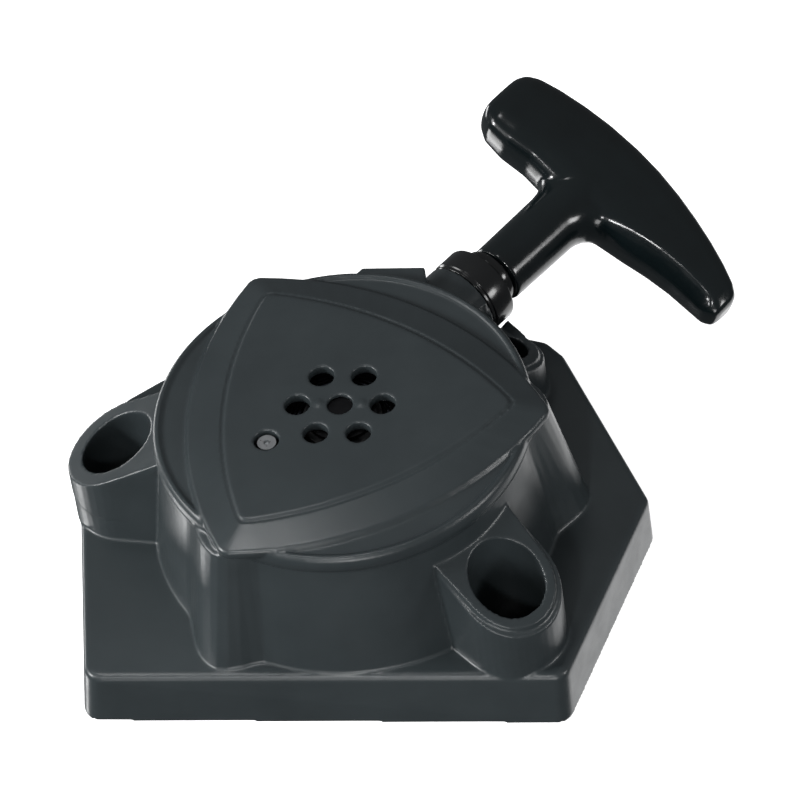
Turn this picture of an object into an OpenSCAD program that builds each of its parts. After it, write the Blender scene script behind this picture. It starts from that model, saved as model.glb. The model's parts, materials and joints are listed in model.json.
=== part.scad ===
// Recoil starter for a small two-stroke engine.
// Origin: reel axis at the mounting face. +Z points out through the cap,
// +X runs along the front edge of the base, +Y points away from the front edge.

/* [Base flange] */
// Height of the base skirt
base_h = 13.6; // [11:0.1:16]
// Wall thickness of the base skirt
skirt_t = 2.4; // [2:0.1:3]
// Thickness of the base deck
deck_t = 2.6; // [2:0.1:3]

/* [Drum] */
// Outer radius of the drum where it meets the deck
drum_r_foot = 43; // [41:0.1:44]
// Outer radius of the drum below the rim bead
drum_r_top = 39.1; // [38.6:0.1:39.6]
// Height of the drum shoulder
drum_h = 46.3; // [46:0.1:46.6]
// Ridge radius of the three lobes at the deck
lobe_r_foot = 49.5; // [46:0.1:50]
// Ridge radius of the three lobes under the cap corners
lobe_r_top = 43.5; // [42:0.1:43.7]

/* [Cap] */
// Corner radius of the raised three-sided cap
cap_corner = 44.15; // [43:0.05:45]
// Distance from the axis to the middle of a cap side
cap_side = 32.6; // [31:0.1:34]
// Corner radius of the inner panel
panel_corner = 36.9; // [36:0.1:38]
// Distance from the axis to the middle of a panel side
panel_side = 24.9; // [24:0.1:26]
// Pitch of the vent holes
vent_pitch = 9; // [8:0.1:10]
// Radius of a vent hole
vent_r = 2.7; // [2:0.1:3]

/* [Mounting bosses] */
// Height of the middle of each large boss mouth
boss_z = 32.5; // [30:0.1:35]
// Slope of the boss mouths
boss_slope = 29; // [20:0.5:35]
// Radius of the large boss wells
well_r = 7.8; // [7:0.1:8]
// Radius of the back boss well
well_back_r = 5.2; // [5:0.1:6]
// Radius of the screw holes in the boss floors
screw_hole_r = 2.75; // [2.2:0.05:3.3]
// Thickness of the boss floors
boss_floor = 6; // [4:0.1:8]

/* [Rope and outlet] */
// Direction in which the rope leaves, from +X
pull_az = 52.7; // [50:0.1:56]
// Height of the rope line
rope_z = 30; // [29.5:0.1:30.5]
// Sideways offset of the rope line from the reel axis
rope_off = -10.35; // [-11:0.05:-10]
// Rope diameter
rope_d = 3.5; // [3:0.1:3.8]
// Distance along the rope line to the face of the grip
grip_s = 59; // [58.8:0.1:60]

/* [Grip] */
// Roll of the grip about the rope
grip_roll = 20.6; // [0:0.1:40]
// Stem radius at the rope end
stem_r0 = 6.55; // [5.8:0.05:6.7]
// Stem radius at the bar
stem_r1 = 6.95; // [6.6:0.05:7.2]

/* [Reel] */
// Flange radius of the reel
reel_r = 31; // [29:0.5:33]
// Radius of the groove floor
groove_r = 14.5; // [14:0.5:16]
// Radius of the pivot post
post_r = 6; // [5.5:0.1:6.2]
// Radius of the pawl pivots from the axis
pawl_pr = 19; // [18.5:0.1:19.5]

/* [Hidden] */
e = 0.01;
plastic = [0.13, 0.14, 0.15];
gloss = [0.06, 0.07, 0.08];
steel = [0.62, 0.63, 0.65];

rd = [cos(pull_az), sin(pull_az)];          // along the rope, outwards
rn = [sin(pull_az), -cos(pull_az)];         // to the right of the rope
function on_rope(s, o = rope_off) = [o * rn[0] + s * rd[0], o * rn[1] + s * rd[1]];
guide_off = rope_off - 0.8;

// places: [x, y, outer radius, well radius, slope direction, mouth height, half width of the web in degrees, lip radius]
boss_left = [-50, 5, 11.0, well_r, 176, boss_z, 16, 11.3];
boss_right = [35.5, -33, 11.0, well_r, -47, boss_z, 15.5, 10];
boss_back = [29.9, 35.4, 8.4, well_back_r, 48, 27, 13, 7.6];
BOSSES = [boss_left, boss_right, boss_back];
cover_screw_az = [30, 150, 270];
anchor_pin = [-14.7, -9.6];

// ---- outlines ----
function unit(v) = v / norm(v);
// one rounded corner at q between p and s, counter-clockwise outline
function corner(p, q, s, r, n) =
    let (u = unit(p - q), v = unit(s - q), a = acos(u * v), t = r / tan(a / 2),
         c = q + unit(u + v) * r / sin(a / 2),
         w = q + u * t - c, a0 = atan2(w[1], w[0]))
    [for (i = [0:n]) [c[0] + r * cos(a0 + (180 - a) * i / n), c[1] + r * sin(a0 + (180 - a) * i / n)]];
function rounded(p, n = 6) =
    [for (i = [0:len(p) - 1])
        let (a = p[(i + len(p) - 1) % len(p)], b = p[i], c = p[(i + 1) % len(p)])
        each corner([a[0], a[1]], [b[0], b[1]], [c[0], c[1]], b[2], n)];
// corners of the base flange: [x, y, corner radius]
base_pts = [[-54.7, -44, 4], [46.8, -44.4, 3.5], [61.9, 4, 2.5], [41.4, 44.9, 4],
            [37.4, 48.9, 3], [28, 51.5, 6], [-45.5, 39.8, 6], [-54, 33.2, 5], [-60.6, 6, 14]];
// three-sided outline with bowed sides: corner radius, side distance, points per side
function tri_outline(rc, rm, n = 16) =
    let (w = rc * sin(60), s = rm - rc / 2, r = (w * w + s * s) / (2 * s), h = asin(w / r), k = rm - r)
    [for (j = [0:2]) each concat(
        [[(rc - 0.45) * cos(120 * j), (rc - 0.45) * sin(120 * j)]],
        [for (i = [0:n]) let (m = 120 * j + 60, b = (h - 1.1) * (2 * i / n - 1))
            [k * cos(m) + r * cos(m + b), k * sin(m) + r * sin(m + b)]])];
function at_z(p, z) = [for (q = p) [q[0], q[1], z]];
// closed solid through a list of rings, each with the same number of points, lowest first
module loft(rings) {
    n = len(rings[0]);
    m = len(rings);
    polyhedron(points = [for (r = rings) each r],
        faces = concat(
            [[for (i = [0:n - 1]) i]],
            [for (j = [0:m - 2]) for (i = [0:n - 1]) each
                [[j * n + i, (j + 1) * n + i, j * n + (i + 1) % n],
                 [j * n + (i + 1) % n, (j + 1) * n + i, (j + 1) * n + (i + 1) % n]]],
            [[for (i = [n - 1:-1:0]) (m - 1) * n + i]]), convexity = 6);
}

// ---- housing ----
// lobes: [direction of the ridge, reach clockwise, reach counter-clockwise], in degrees
lobes = [[5.5, 15, 15], [120, 15, 15], [236.5, 19, 12]];
lobe_az = [for (a = [0:2.5:357.5]) a];
function turn(a) = a - 360 * round(a / 360);
function lobe_f(a) = max([for (l = lobes) let (d = turn(a - l[0]), h = d < 0 ? l[1] : l[2])
    abs(d) >= h ? 0 : pow(0.5 + 0.5 * cos(180 * d / h), 0.85)]);
function mix(a, b, t) = a + (b - a) * t;
function wall_r(a, z) = let (t = (z - base_h) / (42.3 - base_h), c = mix(drum_r_foot, drum_r_top, t),
                             l = mix(lobe_r_foot, lobe_r_top, t)) c + (l - c) * lobe_f(a);
function wall_ring(z) = [for (a = lobe_az) [wall_r(a, z) * cos(a), wall_r(a, z) * sin(a), z]];

// convex outline p moved inwards by d
function inset(p, d) = let (n = len(p)) [for (i = [0:n - 1])
    let (u = unit(p[i] - p[(i + n - 1) % n]), v = unit(p[(i + 1) % n] - p[i]), b = unit(u + v))
    p[i] + d / (b * u) * [-b[1], b[0]]];
base_out = rounded(base_pts);
// the skirt widens towards the mounting face
base_low = rounded([[-56.2, -44.5, 4], [46.6, -45.9, 3.5], [62, 4, 2.5], [41.4, 44.9, 4],
                    [37.4, 48.9, 3], [28, 51.5, 6], [-45.9, 40.4, 6], [-55.3, 33.8, 5], [-62.1, 6, 14]]);
module base_block(h) {
    loft([at_z(base_low, 0), at_z(base_out, h - 1.5), at_z(inset(base_out, 0.12), h - 0.95), at_z(inset(base_out, 0.45), h - 0.42),
          at_z(inset(base_out, 0.9), h - 0.11), at_z(inset(base_out, 1.45), h)]);
}

module cap() {
    loft([at_z(tri_outline(cap_corner - 0.5, cap_side - 0.5), 44.9),
          at_z(tri_outline(cap_corner, cap_side), 45.6),
          at_z(tri_outline(cap_corner, cap_side), 46.9),
          at_z(tri_outline(cap_corner - 0.5, cap_side - 0.5), 47.5),
          at_z(tri_outline(panel_corner + 0.2, panel_side + 0.2), 49.4),
          at_z(tri_outline(panel_corner, panel_side), 49.1),
          at_z(tri_outline(panel_corner - 0.5, panel_side - 0.5), 49.1),
          at_z(tri_outline(panel_corner - 0.7, panel_side - 0.7), 49.55),
          at_z(tri_outline(panel_corner - 1.1, panel_side - 1.1), 49.75)]);
}

module rim_bead() {
    rotate_extrude($fn = 96) polygon([[36.8, 42.4], [39.2, 42.4], [39.9, 43.1], [40.1, 44.4], [39.9, 46],
        [39.3, 46.8], [38.6, 46.9], [37.8, 46], [36.8, 44]]);
}

// plan of a boss: round outside, two webs that run back to the drum
function boss_plan(b, r, tip) =
    let (c = [b[0], b[1]], az = atan2(b[1], b[0]),
         t1 = [tip * cos(az + b[6]), tip * sin(az + b[6])], t2 = [tip * cos(az - b[6]), tip * sin(az - b[6])],
         v1 = t1 - c, v2 = t2 - c,
         a1 = atan2(v1[1], v1[0]) - acos(r / norm(v1)), a2 = atan2(v2[1], v2[0]) + acos(r / norm(v2)),
         span = a1 - a2 - 360 * floor((a1 - a2) / 360))
    concat([t2], [for (i = [0:20]) let (a = a2 + span * i / 20) [c[0] + r * cos(a), c[1] + r * sin(a)]], [t1]);

// everything above the sloping mouth, moved down by d
module above_mouth(b, d) {
    translate([b[0], b[1], b[5]]) rotate([0, 0, b[4]]) rotate([0, boss_slope, 0]) translate([-40, -40, -d]) cube([80, 80, 60]);
}
module boss(b) {
    difference() {
        loft([at_z(boss_plan(b, b[2] + 0.25, 41.6), base_h - 2), at_z(boss_plan(b, b[2], 40.2), 45)]);
        above_mouth(b, 1);
    }
    // raised lip round the mouth
    difference() {
        loft([at_z(boss_plan(b, b[7], 40.3), 20), at_z(boss_plan(b, b[7], 39.6), 45)]);
        above_mouth(b, 0);
    }
    // post down to the mounting face, kept inside the outline of the base
    intersection() {
        translate([b[0], b[1], 0]) cylinder(r = b[2] - 0.4, h = base_h - 1, $fn = 64);
        base_block(base_h);
    }
}

module rope_line(s, o) { translate([on_rope(s, o)[0], on_rope(s, o)[1], rope_z]) rotate([0, 0, pull_az]) rotate([0, 90, 0]) children(); }

module outlet() {
    // block over the rope tunnel, with a straight back
    translate([0, 0, 19]) linear_extrude(42 - 19) polygon([[-8, 36], [0.5, 45.2], [13.9, 45.2], [15.5, 36], [12, 33.5], [-3, 35.6]]);
    translate([0, 0, 19]) linear_extrude(36.2 - 19)
        polygon([[12, 35.6], [13.6, 45.2], [14.8, 45.2], [17.6, 47.7], [26.2, 41.2], [27.4, 39.4], [27.4, 29.4]]);
    // round neck that carries the rope guide
    rope_line(34, guide_off) cylinder(r = 9.1, h = 15.1, $fn = 64);
    // gusset between the neck and the back boss
    translate([0, 0, 12]) linear_extrude(12) polygon([[26.4, 40.2], [30.1, 45.9], [34.3, 41.2], [32, 35]]);
}

module housing() {
    color(plastic) difference() {
        union() {
            difference() {
                union() {
                    base_block(base_h);
                    loft([wall_ring(base_h - 1.6), wall_ring(42.3), wall_ring(44.1),
                          [for (a = lobe_az) [37.6 * cos(a), 37.6 * sin(a), 45.6]]]);
                    translate([0, 0, 43]) cylinder(r = 38.5, h = drum_h - 43, $fn = 96);
                    rim_bead();
                    cap();
                    outlet();
                }
                // hollow of the base and of the drum
                translate([0, 0, -1]) linear_extrude(base_h - deck_t + 1) polygon(inset(base_out, skirt_t));
                rotate_extrude($fn = 96) polygon([[0, base_h - deck_t - 1], [39.1, base_h - deck_t - 1], [36.4, 43.6],
                    [24.4, 43.6], [24.4, 38.2], [22, 38.2], [22, 47.2], [0, 47.2]]);
            }
            for (b = BOSSES) boss(b);
            // pillars of the spring cover
            for (a = cover_screw_az) rotate([0, 0, a]) translate([28, 0, 38.2]) cylinder(r = 3.2, h = 5.8, $fn = 32);
            // two small gate marks beside the middle vent
            for (x = [-4.5, 4.5]) translate([x, 0.2, 49.6]) cylinder(r = 0.8, h = 0.4, $fn = 24);
        }
        // boss wells and screw holes
        for (b = BOSSES) translate([b[0], b[1], 0]) {
            translate([0, 0, boss_floor]) cylinder(r = b[3], h = 45, $fn = 64);
            translate([0, 0, -1]) cylinder(r = screw_hole_r, h = boss_floor + 2, $fn = 32);
        }
        // room round the collar of the rope guide
        rope_line(49, guide_off) cylinder(r = 9.4, h = 12, $fn = 64);
        // vents
        for (x = [-1, 0, 1]) translate([x * vent_pitch, 0, 46]) cylinder(r = vent_r, h = 6, $fn = 32);
        for (x = [-0.5, 0.5], y = [-1, 1]) translate([x * vent_pitch, y * vent_pitch * sin(60), 46]) cylinder(r = vent_r, h = 6, $fn = 32);
        translate([anchor_pin[0], anchor_pin[1], 46]) cylinder(r = vent_r, h = 6, $fn = 32);
        // seat of the pivot post
        translate([0, 0, 46]) cylinder(r = 3.42, h = 2.6, $fn = 48);
        // holes for the cover screws
        for (a = cover_screw_az) rotate([0, 0, a]) translate([28, 0, 38]) cylinder(r = 1.42, h = 5.4, $fn = 24);
        // rope tunnel and the bore of the rope guide
        translate([18.43, 41.27, rope_z]) rotate([0, 0, 31.05]) translate([-26, -4, -3.5]) cube([27.5, 8, 7]);
        rope_line(42.6, guide_off) cylinder(r = 5.05, h = 8, $fn = 64);
    }
}

module rope_guide() {
    color(gloss) rope_line(0, guide_off) rotate_extrude($fn = 64)
        polygon([[3.6, 44.2], [4.9, 44.2], [5, 44.5], [5, 49.15], [8.6, 49.15], [8.8, 49.35], [8.8, 49.9], [9.1, 50.2],
                 [9.1, 55], [9, 55.4], [8.7, 55.6], [6.35, 55.75], [6.1, 56], [6.1, 56.7], [6.4, 56.9], [6.4, 58.5],
                 [6.1, 58.85], [5, 58.85], [3.6, 57.6], [3.1, 55.6], [3.1, 47.4], [3.3, 45.6]]);
}

// ---- axle and retainer ----
module pivot_post() {
    color(steel) difference() {
        union() {
            translate([0, 0, 20]) cylinder(r = post_r, h = 26.5, $fn = 64);
            translate([0, 0, 46.2]) cylinder(r = 7.5, h = 0.95, $fn = 64);
            translate([0, 0, 47]) cylinder(r = 3.4, h = 1.6, $fn = 48);
        }
        translate([0, 0, 19]) cylinder(r = 2.5, h = 15, $fn = 32);
    }
}

module center_screw() {
    color(steel) union() {
        translate([0, 0, 12.6]) cylinder(r = 4.62, h = 2.7, $fn = 6);
        translate([0, 0, 15.2]) cylinder(r = 5.6, h = 0.8, $fn = 48);
        translate([0, 0, 15.9]) cylinder(r = 3.6, h = 2.9, $fn = 48);
        translate([0, 0, 18.7]) cylinder(r = 2.47, h = 13.3, $fn = 32);
    }
}

module ring(r1, r2, z0, z1) {
    translate([0, 0, z0]) difference() {
        cylinder(r = r2, h = z1 - z0, $fn = 64);
        translate([0, 0, -1]) cylinder(r = r1, h = z1 - z0 + 2, $fn = 64);
    }
}

module thrust_washer() { color(steel) ring(2.6, 9, 18.8, 20); }
module friction_spring() { color(steel) ring(3.9, 7.5, 17.5, 18.7); }

// ---- recoil spring and its cover ----
module spring_cover() {
    color([0.7, 0.71, 0.72]) difference() {
        ring(9, 31.5, 37, 38.2);
        for (a = cover_screw_az) rotate([0, 0, a]) translate([28, 0, 37]) {
            translate([0, 0, -e]) cylinder(r1 = 2.9, r2 = 1.7, h = 1.2, $fn = 32);
            translate([0, 0, -1]) cylinder(r = 1.7, h = 4, $fn = 32);
        }
        translate([anchor_pin[0], anchor_pin[1], 36]) cylinder(r = 2.02, h = 4, $fn = 32);
    }
}

module cover_screws() {
    color(steel) for (a = cover_screw_az) rotate([0, 0, a]) translate([28, 0, 0]) {
        translate([0, 0, 37.05]) cylinder(r1 = 2.75, r2 = 1.4, h = 1.15, $fn = 32);
        translate([0, 0, 38]) cylinder(r = 1.4, h = 5, $fn = 32);
    }
}

module spring_anchor_pin() {
    color(steel) translate([anchor_pin[0], anchor_pin[1], 0]) difference() {
        union() {
            translate([0, 0, 37]) cylinder(r = 2, h = 11.9, $fn = 32);
            translate([0, 0, 36.5]) cylinder(r = 3, h = 0.5, $fn = 32);
        }
        translate([0, 0, 47.9]) cylinder(r = 0.7, h = 2, $fn = 24);
    }
}

spring_turns = 6.5;
spring_r0 = 9;
spring_r1 = 15.25;
spring_end = 213.1;
function spring_pt(t, off) = let (a = spring_end - 360 * spring_turns * (1 - t), r = mix(spring_r0, spring_r1, t) + off)
    [r * cos(a), r * sin(a)];
module recoil_spring() {
    n = 130;
    color([0.35, 0.37, 0.42]) translate([0, 0, 38.8]) union() {
        linear_extrude(6.6) polygon(concat([for (i = [0:n]) spring_pt(i / n, -0.22)], [for (i = [n:-1:0]) spring_pt(i / n, 0.22)]));
        // eye round the anchor pin
        translate([anchor_pin[0], anchor_pin[1], 0]) difference() {
            cylinder(r = 2.55, h = 6.6, $fn = 32);
            translate([0, 0, -1]) cylinder(r = 2.1, h = 9, $fn = 32);
        }
        // tab hooked into the reel hub
        rotate([0, 0, spring_end - 360 * spring_turns]) translate([7.4, -0.22, 0]) cube([1.7, 0.44, 6.6]);
    }
}

// ---- reel ----
module reel() {
    color([0.2, 0.21, 0.22]) difference() {
        union() {
            translate([0, 0, 20.3]) cylinder(r = 10, h = 4, $fn = 64);
            translate([0, 0, 24]) cylinder(r = reel_r, h = 2, $fn = 96);
            translate([0, 0, 24]) cylinder(r = groove_r, h = 11, $fn = 64);
            translate([0, 0, 34]) cylinder(r = reel_r, h = 2, $fn = 96);
            translate([0, 0, 35]) cylinder(r = 8.5, h = 10.5, $fn = 64);
            for (a = [90, 270]) rotate([0, 0, a]) translate([pawl_pr, 0, 17.8]) cylinder(r = 2.2, h = 7, $fn = 32);
        }
        translate([0, 0, 19]) cylinder(r = post_r + 0.05, h = 28, $fn = 64);
        // slot for the spring tab
        rotate([0, 0, spring_end - 360 * spring_turns]) translate([6.9, -0.6, 38.4]) cube([3, 1.2, 8]);
        // pocket of the rope knot and the hole that leads to the groove
        rotate([0, 0, 200]) translate([10.6, 0, 23]) cylinder(r = 3.5, h = 10, $fn = 32);
        rotate([0, 0, 200]) translate([10, 0, rope_z]) rotate([0, 90, 0]) cylinder(r = 2, h = 8, $fn = 24);
    }
}

module rope_coil() { color([0.85, 0.84, 0.8]) ring(groove_r + 0.1, 24, 26.1, 33.9); }

module reel_knot() {
    color([0.85, 0.84, 0.8]) rotate([0, 0, 200]) union() {
        translate([10.6, 0, rope_z - 0.4]) sphere(r = 3.1, $fn = 24);
        translate([11.6, 0, rope_z]) rotate([0, 90, 0]) cylinder(r = rope_d / 2, h = 2.9, $fn = 24);
    }
}

// ---- rope ----
wrap_r = 25.85;                                  // centre line of the outer turn
knee = [18.43, 41.27];                           // where the rope turns into the guide
leave_az = 121.05;                               // where it leaves the coil
leave = [wrap_r * cos(leave_az), wrap_r * sin(leave_az)];
lead_dir = unit(knee - leave);
function bez(a, b, c, t) = (1 - t) * (1 - t) * a + 2 * t * (1 - t) * b + t * t * c;
rope_path = concat([leave, leave + lead_dir * 10, leave + lead_dir * 20, knee - lead_dir * 8],
                   [for (t = [0.2:0.2:0.8]) bez(knee - lead_dir * 8, knee, knee + rd * 8, t)],
                   [knee + rd * 8, on_rope(grip_s - 4), on_rope(grip_s - 0.3)]);
module tube(path, r, z, n = 8) {
    m = len(path);
    dirs = [for (i = [0:m - 1]) unit(path[min(i + 1, m - 1)] - path[max(i - 1, 0)])];
    loft([for (i = [0:m - 1]) [for (k = [0:n - 1]) let (a = 360 * k / n)
        [path[i][0] + r * cos(a) * dirs[i][1], path[i][1] - r * cos(a) * dirs[i][0], z + r * sin(a)]]]);
}
module rope_run() { color([0.85, 0.84, 0.8]) tube(rope_path, rope_d / 2, rope_z); }
module rope_tail() { color([0.85, 0.84, 0.8]) rope_line(grip_s - 0.2, rope_off) cylinder(r = rope_d / 2, h = 14.7, $fn = 32); }
module grip_knot() { color([0.85, 0.84, 0.8]) rope_line(grip_s + 18.75, rope_off) sphere(r = 4.1, $fn = 32); }
module knot_washer() {
    color(steel) rope_line(grip_s + 14.25, rope_off) difference() {
        cylinder(r = 4.5, h = 0.8, $fn = 48);
        translate([0, 0, -1]) cylinder(r = 1.9, h = 3, $fn = 32);
    }
}

// ---- pawls and their plate ----
pawl_rest = -21;      // direction of the folded pawl in the frame of its pivot
pawl_open = 28;       // how far a pawl swings out
plate_open = 25;      // how far the plate lags behind the reel
pin_arm = 8;          // from the pawl pivot to its drive pin
function pin_at(t) = let (a = pawl_rest + pawl_open * t, x = pin_arm * cos(a), y = pawl_pr + pin_arm * sin(a), b = -plate_open * t)
    [x * cos(b) - y * sin(b), x * sin(b) + y * cos(b)];

module pawl() {
    translate([0, pawl_pr, 0]) rotate([0, 0, pawl_rest]) difference() {
        union() {
            translate([0, 0, 18]) linear_extrude(5.5)
                polygon([[0, 4.2], [9, 3.3], [14.4, 1.2], [14.6, -2.4], [8, -3.6], [0, -4.2]]);
            translate([0, 0, 18]) cylinder(r = 4.2, h = 5.5, $fn = 48);
            translate([pin_arm, 0, 15.9]) cylinder(r = 1.2, h = 2.6, $fn = 24);
        }
        translate([0, 0, 17]) cylinder(r = 2.25, h = 8, $fn = 32);
    }
}
module pawl_a() { color(steel) pawl(); }
module pawl_b() { color(steel) rotate([0, 0, 180]) pawl(); }

module friction_plate() {
    color([0.72, 0.68, 0.5]) difference() {
        translate([0, 0, 16.2]) cylinder(r = 24.8, h = 1.2, $fn = 96);
        translate([0, 0, 15]) cylinder(r = 3.65, h = 4, $fn = 48);
        for (k = [0, 180]) rotate([0, 0, k]) {
            for (t = [0:0.1:1]) translate([pin_at(t)[0], pin_at(t)[1], 15]) cylinder(r = 1.5, h = 4, $fn = 24);
            translate([-24, 17, 15]) cylinder(r = 13, h = 4, $fn = 64);
        }
    }
}

// ---- grip, in its own frame: x along the bar, y away from the reel, z through its thickness ----
// [x, inner y, outer y, thickness]
bar_st = [[-29, 29.9, 37.2, 4], [-28.6, 28, 39.3, 7.2], [-27.3, 26.3, 41.1, 9.8], [-24.6, 24.7, 42.4, 11.6], [-19.5, 24.2, 43.5, 12.7],
          [-13, 24.8, 44.4, 13.3], [-6, 24.2, 44.9, 13.8], [2, 23.7, 44.8, 14], [9, 23.8, 44.1, 14], [16, 24.8, 42.8, 13.6],
          [22, 25.8, 41.3, 12.9], [28, 26.3, 39.5, 12], [33.5, 26.2, 37.5, 10.9], [37.8, 26, 35.6, 9.5], [40, 26.8, 34, 7.4], [40.6, 28.3, 32.3, 4.2]];
// flare where the stem runs into the bar: [distance along the stem, left reach, right reach, half thickness]
flare_st = [[17, -6.7, 6.7, 6.7], [19.6, -6.85, 7, 6.75], [21.6, -7.1, 7.8, 6.7], [23.2, -7.7, 9.2, 6.6], [24.4, -8.6, 11.4, 6.5], [25.4, -10.2, 14.6, 6.3], [30, -10.8, 16, 5.8]];
function se(c, p) = sign(c) * pow(abs(c), p);
function bar_ring(s, n = 24) = [for (k = [0:n - 1]) let (a = 360 * k / n, yc = (s[1] + s[2]) / 2, h = (s[2] - s[1]) / 2)
    [s[0], yc + h * se(cos(a), 0.52), s[3] / 2 * se(sin(a), 0.52)]];
function flare_ring(s, n = 40) = [for (k = [0:n - 1]) let (a = 360 * k / n) [(s[1] + s[2]) / 2 + (s[2] - s[1]) / 2 * cos(a), s[0], -s[3] * sin(a)]];
module grip_body() {
    difference() {
        union() {
            rotate([-90, 0, 0]) cylinder(r1 = stem_r0, r2 = stem_r1, h = 30, $fn = 64);
            loft([for (s = flare_st) flare_ring(s)]);
            loft([for (s = bar_st) bar_ring(s)]);
        }
        rotate([-90, 0, 0]) translate([0, 0, -1]) cylinder(r = 2.3, h = 20, $fn = 32);
        // knot pocket, open on the underside
        rotate([-90, 0, 0]) translate([0, 0, 14.2]) cylinder(r = 4.8, h = 10, $fn = 48);
        translate([-4.5, 15.1, -12]) cube([9, 8.9, 12]);
    }
}
module handle_grip() {
    color(gloss) translate([on_rope(grip_s)[0], on_rope(grip_s)[1], rope_z]) rotate([0, 0, pull_az - 90]) rotate([0, grip_roll, 0]) grip_body();
}

housing();
rope_guide();
pivot_post();
center_screw();
thrust_washer();
friction_spring();
spring_cover();
cover_screws();
spring_anchor_pin();
recoil_spring();
reel();
rope_coil();
reel_knot();
rope_run();
rope_tail();
grip_knot();
knot_washer();
friction_plate();
pawl_a();
pawl_b();
handle_grip();
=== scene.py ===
import json
import math

import bpy
import bmesh
import numpy as np
from mathutils import Matrix, Vector


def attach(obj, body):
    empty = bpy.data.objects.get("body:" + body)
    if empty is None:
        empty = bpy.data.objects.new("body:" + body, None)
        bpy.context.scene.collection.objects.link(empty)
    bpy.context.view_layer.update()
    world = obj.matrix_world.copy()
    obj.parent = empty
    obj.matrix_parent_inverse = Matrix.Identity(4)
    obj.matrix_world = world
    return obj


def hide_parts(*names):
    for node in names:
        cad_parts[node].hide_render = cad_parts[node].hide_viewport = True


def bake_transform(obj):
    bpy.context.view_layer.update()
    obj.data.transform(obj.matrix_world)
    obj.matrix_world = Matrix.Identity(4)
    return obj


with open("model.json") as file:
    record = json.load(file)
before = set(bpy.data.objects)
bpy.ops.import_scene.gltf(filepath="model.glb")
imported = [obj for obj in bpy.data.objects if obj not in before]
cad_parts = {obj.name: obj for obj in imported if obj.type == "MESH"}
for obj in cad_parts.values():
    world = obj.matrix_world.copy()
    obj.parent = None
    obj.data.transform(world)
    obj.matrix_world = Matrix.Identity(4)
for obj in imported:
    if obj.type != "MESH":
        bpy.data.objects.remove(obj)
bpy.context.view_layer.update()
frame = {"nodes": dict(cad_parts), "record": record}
nodes = frame["nodes"]
scene = bpy.context.scene

# ---------------------------------------------------------------- measures
AZ = math.radians(52.7)
RD = Vector((math.cos(AZ), math.sin(AZ), 0.0))      # along the rope, outwards
RN = Vector((math.sin(AZ), -math.cos(AZ), 0.0))     # to the right of the rope
UP = Vector((0, 0, 1))
ROPE_Z = 0.030
ROPE_OFF = -0.01035
GRIP_S = 0.059


def on_rope(s, off=ROPE_OFF, z=ROPE_Z):
    return RN * off + RD * s + UP * z


# ---------------------------------------------------------------- material helpers
def new_mat(name):
    m = bpy.data.materials.new(name)
    m.use_nodes = True
    nt = m.node_tree
    return m, nt, nt.nodes["Principled BSDF"]


def add(nt, kind, **values):
    n = nt.nodes.new(kind)
    for k, v in values.items():
        if k in n.inputs:
            n.inputs[k].default_value = v
        else:
            setattr(n, k, v)
    return n


def coords(nt, scale=1.0):
    tc = add(nt, "ShaderNodeTexCoord")
    return tc.outputs["Object"]


def noise(nt, vec, scale, detail=3.0, rough=0.5):
    n = add(nt, "ShaderNodeTexNoise")
    n.inputs["Scale"].default_value = scale
    n.inputs["Detail"].default_value = detail
    n.inputs["Roughness"].default_value = rough
    nt.links.new(vec, n.inputs["Vector"])
    return n.outputs["Fac"]


def ramp(nt, fac, stops):
    r = add(nt, "ShaderNodeValToRGB")
    els = r.color_ramp.elements
    while len(els) > 1:
        els.remove(els[-1])
    for i, (p, c) in enumerate(stops):
        el = els[0] if i == 0 else els.new(p)
        el.position = p
        el.color = (*c, 1) if len(c) == 3 else c
    nt.links.new(fac, r.inputs["Fac"])
    return r.outputs["Color"]


def to_range(nt, fac, lo, hi, a=0.0, b=1.0):
    r = add(nt, "ShaderNodeMapRange")
    nt.links.new(fac, r.inputs["Value"])
    r.inputs["From Min"].default_value = a
    r.inputs["From Max"].default_value = b
    r.inputs["To Min"].default_value = lo
    r.inputs["To Max"].default_value = hi
    return r.outputs["Result"]


def bump(nt, height, strength, distance, prev=None):
    b = add(nt, "ShaderNodeBump")
    b.inputs["Strength"].default_value = strength
    b.inputs["Distance"].default_value = distance
    nt.links.new(height, b.inputs["Height"])
    if prev is not None:
        nt.links.new(prev, b.inputs["Normal"])
    return b.outputs["Normal"]


def plastic(name, dark, light, r_lo, r_hi, grain=4200.0, grain_h=0.00003, grain_s=0.35, specular=0.5):
    m, nt, p = new_mat(name)
    v = coords(nt)
    big = noise(nt, v, 45.0, 4.0, 0.6)
    col = ramp(nt, big, [(0.3, dark), (0.7, light)])
    nt.links.new(col, p.inputs["Base Color"])
    mid = noise(nt, v, 160.0, 5.0, 0.65)
    nt.links.new(to_range(nt, mid, r_lo, r_hi, 0.3, 0.7), p.inputs["Roughness"])
    fine = noise(nt, v, grain, 2.0, 0.6)
    swell = noise(nt, v, 60.0, 2.0, 0.5)
    n1 = bump(nt, swell, 0.25, 0.0002)
    nt.links.new(bump(nt, fine, grain_s, grain_h, n1), p.inputs["Normal"])
    p.inputs["Specular IOR Level"].default_value = specular
    return m


def metal(name, dark, light, r_lo, r_hi, grain=900.0):
    m, nt, p = new_mat(name)
    v = coords(nt)
    big = noise(nt, v, 120.0, 5.0, 0.6)
    nt.links.new(ramp(nt, big, [(0.3, dark), (0.7, light)]), p.inputs["Base Color"])
    p.inputs["Metallic"].default_value = 1.0
    mid = noise(nt, v, grain, 4.0, 0.6)
    nt.links.new(to_range(nt, mid, r_lo, r_hi, 0.3, 0.7), p.inputs["Roughness"])
    nt.links.new(bump(nt, mid, 0.2, 0.00003), p.inputs["Normal"])
    return m


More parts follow.
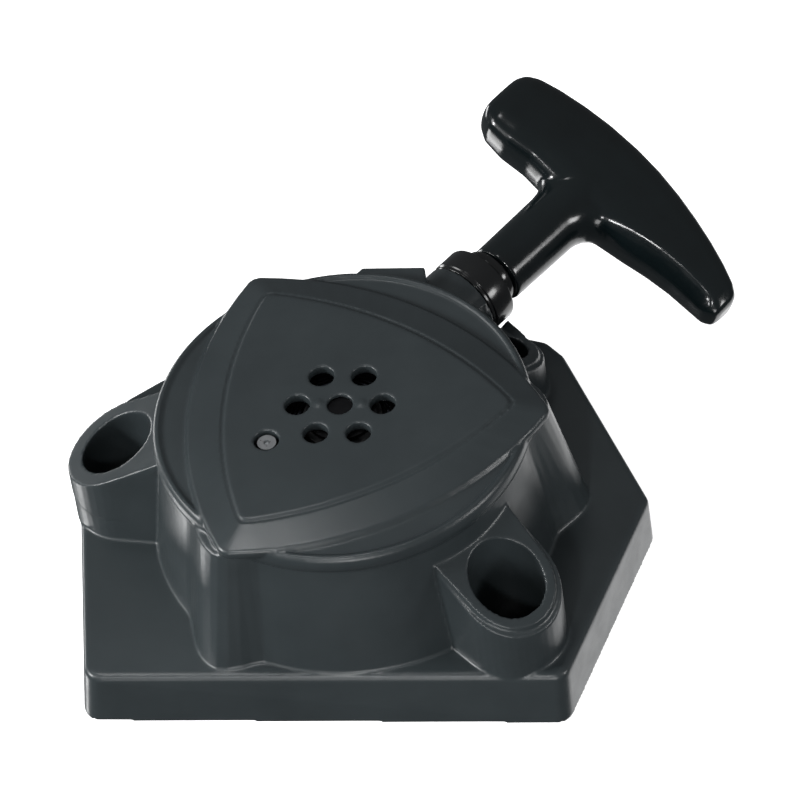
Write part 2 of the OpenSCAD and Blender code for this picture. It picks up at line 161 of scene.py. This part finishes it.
def braid(name):
    m, nt, p = new_mat(name)
    v = coords(nt)
    w = add(nt, "ShaderNodeTexWave")
    w.inputs["Scale"].default_value = 260.0
    w.inputs["Distortion"].default_value = 2.0
    nt.links.new(v, w.inputs["Vector"])
    nt.links.new(ramp(nt, w.outputs["Fac"], [(0.2, (0.30, 0.29, 0.27)), (0.8, (0.62, 0.61, 0.57))]), p.inputs["Base Color"])
    p.inputs["Roughness"].default_value = 0.8
    nt.links.new(bump(nt, w.outputs["Fac"], 0.6, 0.0003), p.inputs["Normal"])
    return m


M_BLACK = plastic("housing_plastic", (0.0232, 0.0292, 0.0318), (0.0302, 0.0378, 0.0408), 0.29, 0.38)
M_GUIDE = plastic("guide_plastic", (0.006, 0.0065, 0.007), (0.010, 0.0105, 0.011), 0.12, 0.20, grain=2500.0, grain_s=0.08)
M_GRIP = plastic("grip_plastic", (0.0020, 0.0040, 0.0046), (0.0038, 0.0070, 0.0080), 0.13, 0.21, grain=3200.0, grain_s=0.12)
M_REEL = plastic("reel_nylon", (0.02, 0.021, 0.022), (0.035, 0.036, 0.037), 0.40, 0.55)
M_ZINC = metal("zinc_steel", (0.42, 0.43, 0.44), (0.62, 0.63, 0.64), 0.25, 0.42)
M_DARK = metal("oxide_steel", (0.012, 0.012, 0.013), (0.03, 0.03, 0.032), 0.35, 0.55)
M_SPRING = metal("spring_steel", (0.06, 0.065, 0.08), (0.13, 0.14, 0.17), 0.25, 0.4)
M_COVER = metal("cover_steel", (0.40, 0.41, 0.42), (0.55, 0.56, 0.57), 0.3, 0.5)
M_YELLOW = metal("passivated_steel", (0.50, 0.43, 0.25), (0.62, 0.55, 0.36), 0.28, 0.45)
M_ROPE = braid("rope_braid")

BY_SLOT = {"black": M_BLACK, "guide": M_GUIDE, "grip": M_GRIP, "reel": M_REEL, "zinc": M_ZINC, "dark_steel": M_DARK,
           "spring": M_SPRING, "cover": M_COVER, "yellow_zinc": M_YELLOW, "rope": M_ROPE}
for sp in frame["record"]["subparts"]:
    o = nodes[sp["node"]]
    o.data.materials.clear()
    o.data.materials.append(BY_SLOT[sp["material_slot"]])


# ---------------------------------------------------------------- mesh helpers
def copy_mesh(node, name):
    src = nodes[node]
    me = src.data.copy()
    me.name = name
    o = bpy.data.objects.new(name, me)
    scene.collection.objects.link(o)
    bm = bmesh.new()
    bm.from_mesh(me)
    bmesh.ops.remove_doubles(bm, verts=bm.verts, dist=1e-6)
    bm.to_mesh(me)
    bm.free()
    return o


def apply_mod(o, mod):
    dg = bpy.context.evaluated_depsgraph_get()
    new = bpy.data.meshes.new_from_object(o.evaluated_get(dg))
    old = o.data
    o.modifiers.remove(mod)
    o.data = new
    bpy.data.meshes.remove(old)


def remesh(o, voxel, smooth=0, factor=0.5, passes=1):
    mod = o.modifiers.new("remesh", "REMESH")
    mod.mode = "VOXEL"
    mod.voxel_size = voxel
    mod.use_smooth_shade = True
    apply_mod(o, mod)
    for _ in range(passes):
        if smooth:
            mod = o.modifiers.new("smooth", "SMOOTH")
            mod.iterations = smooth
            mod.factor = factor
            apply_mod(o, mod)


def moulded(node, name, voxel, smooth, mat, body, factor=0.5):
    o = copy_mesh(node, name)
    remesh(o, voxel, smooth, factor)
    o.data.materials.clear()
    o.data.materials.append(mat)
    for poly in o.data.polygons:
        poly.use_smooth = True
    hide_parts(node)
    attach(o, body)
    return o


# ---------------------------------------------------------------- housing
VOX = 0.00036
housing = moulded("housing", "housing_shell", VOX, 2, M_BLACK, "housing_body")
grip = moulded("handle_grip", "grip_shell", 0.00034, 3, M_GRIP, "grip_body")


def soften_grip(o):
    """Round the inner ridge of the bar: the upper inner corner is eased down along the right wing, from beside the
    stem to near its end, and the grip is then smoothed.
    """
    inner = [(-29, 29.9), (-27.3, 26.3), (-24.6, 24.7), (-19.5, 24.2), (-13, 24.8), (-6, 24.2), (2, 23.7), (9, 23.8),
             (16, 24.8), (22, 25.8), (28, 26.3), (33.5, 26.2), (37.8, 26.0), (40.0, 26.8), (40.6, 28.3)]
    ca, sa = math.cos(AZ - math.pi / 2), math.sin(AZ - math.pi / 2)
    cr, sr = math.cos(math.radians(20.6)), math.sin(math.radians(20.6))
    org = Vector(on_rope(GRIP_S))
    down = Vector((ca * -sr, sa * -sr, -cr))
    for v in o.data.vertices:
        q = v.co - org
        x1, y = q.x * ca + q.y * sa, -q.x * sa + q.y * ca
        x, z = (x1 * cr - q.z * sr) * 1000, (x1 * sr + q.z * cr) * 1000
        y *= 1000
        if z < 0.6 or y < 19 or not 0 < x < 40:
            continue
        y_in = next((a[1] + (b[1] - a[1]) * (x - a[0]) / (b[0] - a[0]) for a, b in zip(inner, inner[1:]) if a[0] <= x <= b[0]), 25.0)
        t = y_in + 3.2 - y
        if t <= 0:
            continue
        t = t * t / (t + 0.8)
        near = x - 9.0        # nothing is moved where the stem joins
        fade = min(1.0, max(0.0, (y - 19) / 4.0)) * min(1.0, z / 4.5) * min(1.0, (40 - x) / 4) * min(1.0, max(0.0, near / 9.0))
        v.co += down * (0.00095 * min(t, 2.8) * fade)
    mod = o.modifiers.new("smooth", "SMOOTH")
    mod.iterations = 20
    mod.factor = 0.5
    apply_mod(o, mod)


soften_grip(grip)


# ---------------------------------------------------------------- rope
def tube_mesh(name, path, radius, sides=12, mat=None, closed=False):
    """A smooth tube along a list of points, with frames carried along so that it doesn't twist."""
    pts = [Vector(p) for p in path]
    n = len(pts)
    tang = []
    for i in range(n):
        a = pts[(i - 1) % n] if closed or i > 0 else pts[i]
        b = pts[(i + 1) % n] if closed or i < n - 1 else pts[i]
        tang.append((b - a).normalized())
    ref = Vector((0, 0, 1)) if abs(tang[0].z) < 0.9 else Vector((1, 0, 0))
    side = tang[0].cross(ref).normalized()
    verts = []
    for i in range(n):
        side = (side - tang[i] * side.dot(tang[i])).normalized()
        up = side.cross(tang[i]).normalized()
        for k in range(sides):
            a = 2 * math.pi * k / sides
            verts.append(pts[i] + side * (radius * math.cos(a)) + up * (radius * math.sin(a)))
    faces = []
    last = n if closed else n - 1
    for i in range(last):
        for k in range(sides):
            a, b = i * sides + k, i * sides + (k + 1) % sides
            c, d = ((i + 1) % n) * sides + (k + 1) % sides, ((i + 1) % n) * sides + k
            faces.append((a, d, c, b))
    if not closed:
        faces.append(tuple(range(sides)))
        faces.append(tuple(reversed(range((n - 1) * sides, n * sides))))
    me = bpy.data.meshes.new(name)
    me.from_pydata([tuple(v) for v in verts], [], faces)
    bm = bmesh.new()
    bm.from_mesh(me)
    bmesh.ops.recalc_face_normals(bm, faces=bm.faces)
    bm.to_mesh(me)
    bm.free()
    for poly in me.polygons:
        poly.use_smooth = len(poly.vertices) == 4
    me.materials.append(mat or M_ROPE)
    o = bpy.data.objects.new(name, me)
    scene.collection.objects.link(o)
    return o


def bezier(a, b, c, t):
    return a * (1 - t) ** 2 + b * (2 * t * (1 - t)) + c * t * t


# from the last turn of the coil through the tunnel, round the knee and out of the guide
LEAVE_AZ = math.radians(121.05)
LEAVE = Vector((0.02585 * math.cos(LEAVE_AZ), 0.02585 * math.sin(LEAVE_AZ), ROPE_Z))
KNEE = Vector((0.01843, 0.04127, ROPE_Z))
LEAD = (KNEE - LEAVE).normalized()
rope_pts = [LEAVE + LEAD * (0.001 * k) for k in range(0, int((KNEE - LEAVE).length * 1000) - 8, 2)]
rope_pts += [bezier(KNEE - LEAD * 0.008, KNEE, KNEE + RD * 0.008, k / 12.0) for k in range(13)]
s_now = (KNEE + RD * 0.008 - UP * ROPE_Z).dot(RD)
while s_now < GRIP_S - 0.0008:
    s_now += 0.0005
    rope_pts.append(on_rope(s_now))
rope = tube_mesh("rope_line", rope_pts, 0.00172, 16)
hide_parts("rope_run")
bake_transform(rope)

# the wound rope: two rows side by side in three layers
coil_pts = []
layers = [0.01642, 0.01975, 0.0221]
for li, rad in enumerate(layers):
    turns = 2 if li < 2 else 1.97
    steps = int(48 * turns)
    for k in range(steps):
        t = k / steps
        z0, z1 = (0.02818, 0.03182) if li % 2 == 0 else (0.03182, 0.02818)
        blend_z = min(1.0, max(0.0, (t * turns - 0.85) / 0.3))
        r = rad
        if t * turns > turns - 0.2 and li + 1 < len(layers):
            r = rad + (layers[li + 1] - rad) * (t * turns - turns + 0.2) / 0.2
        a = 2 * math.pi * (t * turns) + 2 * math.pi * 2 * li
        coil_pts.append((r * math.cos(a), r * math.sin(a), z0 + (z1 - z0) * blend_z))
coil = tube_mesh("rope_turns", coil_pts, 0.00172, 10)
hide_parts("rope_coil")
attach(coil, "reel_body")


def knot(name, centre, axis, size, radius, node, body):
    """A tightened overhand knot."""
    axis = Vector(axis).normalized()
    u = axis.orthogonal().normalized()
    v = axis.cross(u)
    pts = []
    for k in range(72):
        t = 2 * math.pi * k / 72
        x, y, z = math.sin(t) + 2 * math.sin(2 * t), math.cos(t) - 2 * math.cos(2 * t), -1.25 * math.sin(3 * t)
        pts.append(Vector(centre) + (u * x + v * y + axis * z) * (size / 3.0))
    o = tube_mesh(name, pts, radius, 12, closed=True)
    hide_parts(node)
    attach(o, body)
    return o


knot("grip_knot_rope", on_rope(GRIP_S + 0.0190), RD, 0.00262, 0.00145, "grip_knot", "rope_end_body")
KA = math.radians(200)
knot("reel_knot_rope", (0.0106 * math.cos(KA), 0.0106 * math.sin(KA), 0.0296), (math.cos(KA), math.sin(KA), 0), 0.00195, 0.00112,
     "reel_knot", "reel_body")

# ---------------------------------------------------------------- broken edges on the metal and nylon pieces
for name, width in (("center_screw", 0.00025), ("pivot_post", 0.0002), ("thrust_washer", 0.00015), ("friction_spring", 0.00012),
                    ("spring_cover", 0.00015), ("cover_screws", 0.00012), ("spring_anchor_pin", 0.0002), ("knot_washer", 0.00012),
                    ("friction_plate", 0.0002), ("pawl_a", 0.00025), ("pawl_b", 0.00025), ("reel", 0.00025), ("rope_guide", 0.00008)):
    o = nodes[name]
    w = o.modifiers.new("weld", "WELD")
    w.merge_threshold = 0.000005
    b = o.modifiers.new("edge", "BEVEL")
    b.width = width
    b.segments = 2
    b.limit_method = "ANGLE"
    b.angle_limit = math.radians(40)
    b.harden_normals = False

# ---------------------------------------------------------------- floor
bpy.ops.mesh.primitive_plane_add(size=6, location=(0, 0, -0.0002))
floor = bpy.context.object
floor.name = "floor"
fm, fnt, fp = new_mat("floor_white")
fp.inputs["Base Color"].default_value = (0.9, 0.9, 0.9, 1)
fp.inputs["Roughness"].default_value = 0.9
fp.inputs["Emission Color"].default_value = (1, 1, 1, 1)
fp.inputs["Emission Strength"].default_value = 0.85
floor.data.materials.append(fm)
floor.visible_diffuse = False
floor.visible_glossy = False
floor.visible_shadow = False

# ---------------------------------------------------------------- light
world = bpy.data.worlds.new("studio")
scene.world = world
world.use_nodes = True
wnt = world.node_tree
bg = wnt.nodes["Background"]
wtc = wnt.nodes.new("ShaderNodeTexCoord")
wsep = wnt.nodes.new("ShaderNodeSeparateXYZ")
wramp = wnt.nodes.new("ShaderNodeValToRGB")
wmap = wnt.nodes.new("ShaderNodeMapRange")
wmap.inputs["From Min"].default_value = -1.0
wmap.inputs["From Max"].default_value = 1.0
wnt.links.new(wtc.outputs["Generated"], wsep.inputs["Vector"])
wnt.links.new(wsep.outputs["Z"], wmap.inputs["Value"])
wnt.links.new(wmap.outputs["Result"], wramp.inputs["Fac"])
els = wramp.color_ramp.elements
els[0].position = 0.0
els[0].color = (0.10, 0.105, 0.11, 1)
els[1].position = 1.0
els[1].color = (0.22, 0.225, 0.23, 1)
el = els.new(0.5)
el.color = (0.12, 0.125, 0.13, 1)
wnt.links.new(wramp.outputs["Color"], bg.inputs["Color"])
bg.inputs["Strength"].default_value = 1.0


def area(name, loc, target, size, power, size_y=None):
    li = bpy.data.lights.new(name, "AREA")
    li.energy = power
    li.size = size
    if size_y:
        li.shape = "RECTANGLE"
        li.size_y = size_y
    o = bpy.data.objects.new(name, li)
    scene.collection.objects.link(o)
    o.location = loc
    o.rotation_euler = (Vector(target) - Vector(loc)).to_track_quat("-Z", "Y").to_euler()
    return o


# soft boxes: left, front and left-back; a low card on the right, beside and below the base
area("box_left", (-1.12, -0.02, 0.58), (0, 0, 0.03), 0.45, 4.6)
area("box_grip", (-1.20, -0.42, 0.60), (0.03, 0.05, 0.03), 0.16, 14.0, 0.3)
area("box_high", (-0.12, -1.05, 0.98), (0, 0, 0.03), 0.12, 4.2)
area("box_top", (-0.25, 0.25, 1.30), (0, 0, 0.03), 0.25, 1.4)
area("box_frontleft", (-0.83, -0.86, 0.83), (0, 0, 0.03), 0.12, 2.0)
area("box_front", (0.10, -1.40, 0.22), (0, 0, 0.03), 0.6, 6.9)
area("strip_leftback", (-0.95, 0.80, -0.22), (0, 0, 0.03), 0.7, 4.0, 0.25)
area("box_right", (1.15, -0.28, 0.42), (0, 0, 0.03), 0.28, 3.4)
area("card_right", (0.40, 0.38, -0.62), (0.03, 0, 0.02), 0.8, 2.9)
area("card_left", (-0.77, 0.13, -0.64), (-0.04, -0.01, 0.03), 0.26, 1.3)
# a narrow spot straight down on the front left corner
spot = bpy.data.lights.new("snoot", "SPOT")
spot.energy = 7.5
spot.shadow_soft_size = 0.06
spot.spot_size = math.radians(12.5)
spot.spot_blend = 1.0
spot_o = bpy.data.objects.new("snoot", spot)
scene.collection.objects.link(spot_o)
spot_o.location = (-0.046, -0.080, 0.42)

# ---------------------------------------------------------------- camera
BACK = Vector((0.1234, -0.6497, 0.7502)).normalized()
RIGHT = Vector((0.9922, 0.0722, -0.1007))
RIGHT = (RIGHT - BACK * RIGHT.dot(BACK)).normalized()
CUP = BACK.cross(RIGHT).normalized()
TARGET = Vector((0.009354, 0.018002, 0.030))
cam_data = bpy.data.cameras.new("camera")
cam = bpy.data.objects.new("camera", cam_data)
scene.collection.objects.link(cam)
cam_data.sensor_width = 36.0
cam_data.lens = 6712.0 / 800.0 * 36.0
cam_data.clip_start = 0.05
cam_data.clip_end = 20.0
mat = Matrix((RIGHT, CUP, BACK)).transposed().to_4x4()
mat.translation = TARGET + BACK * 1.4263
cam.matrix_world = mat
scene.camera = cam

scene.view_settings.view_transform = "Standard"
scene.view_settings.look = "None"
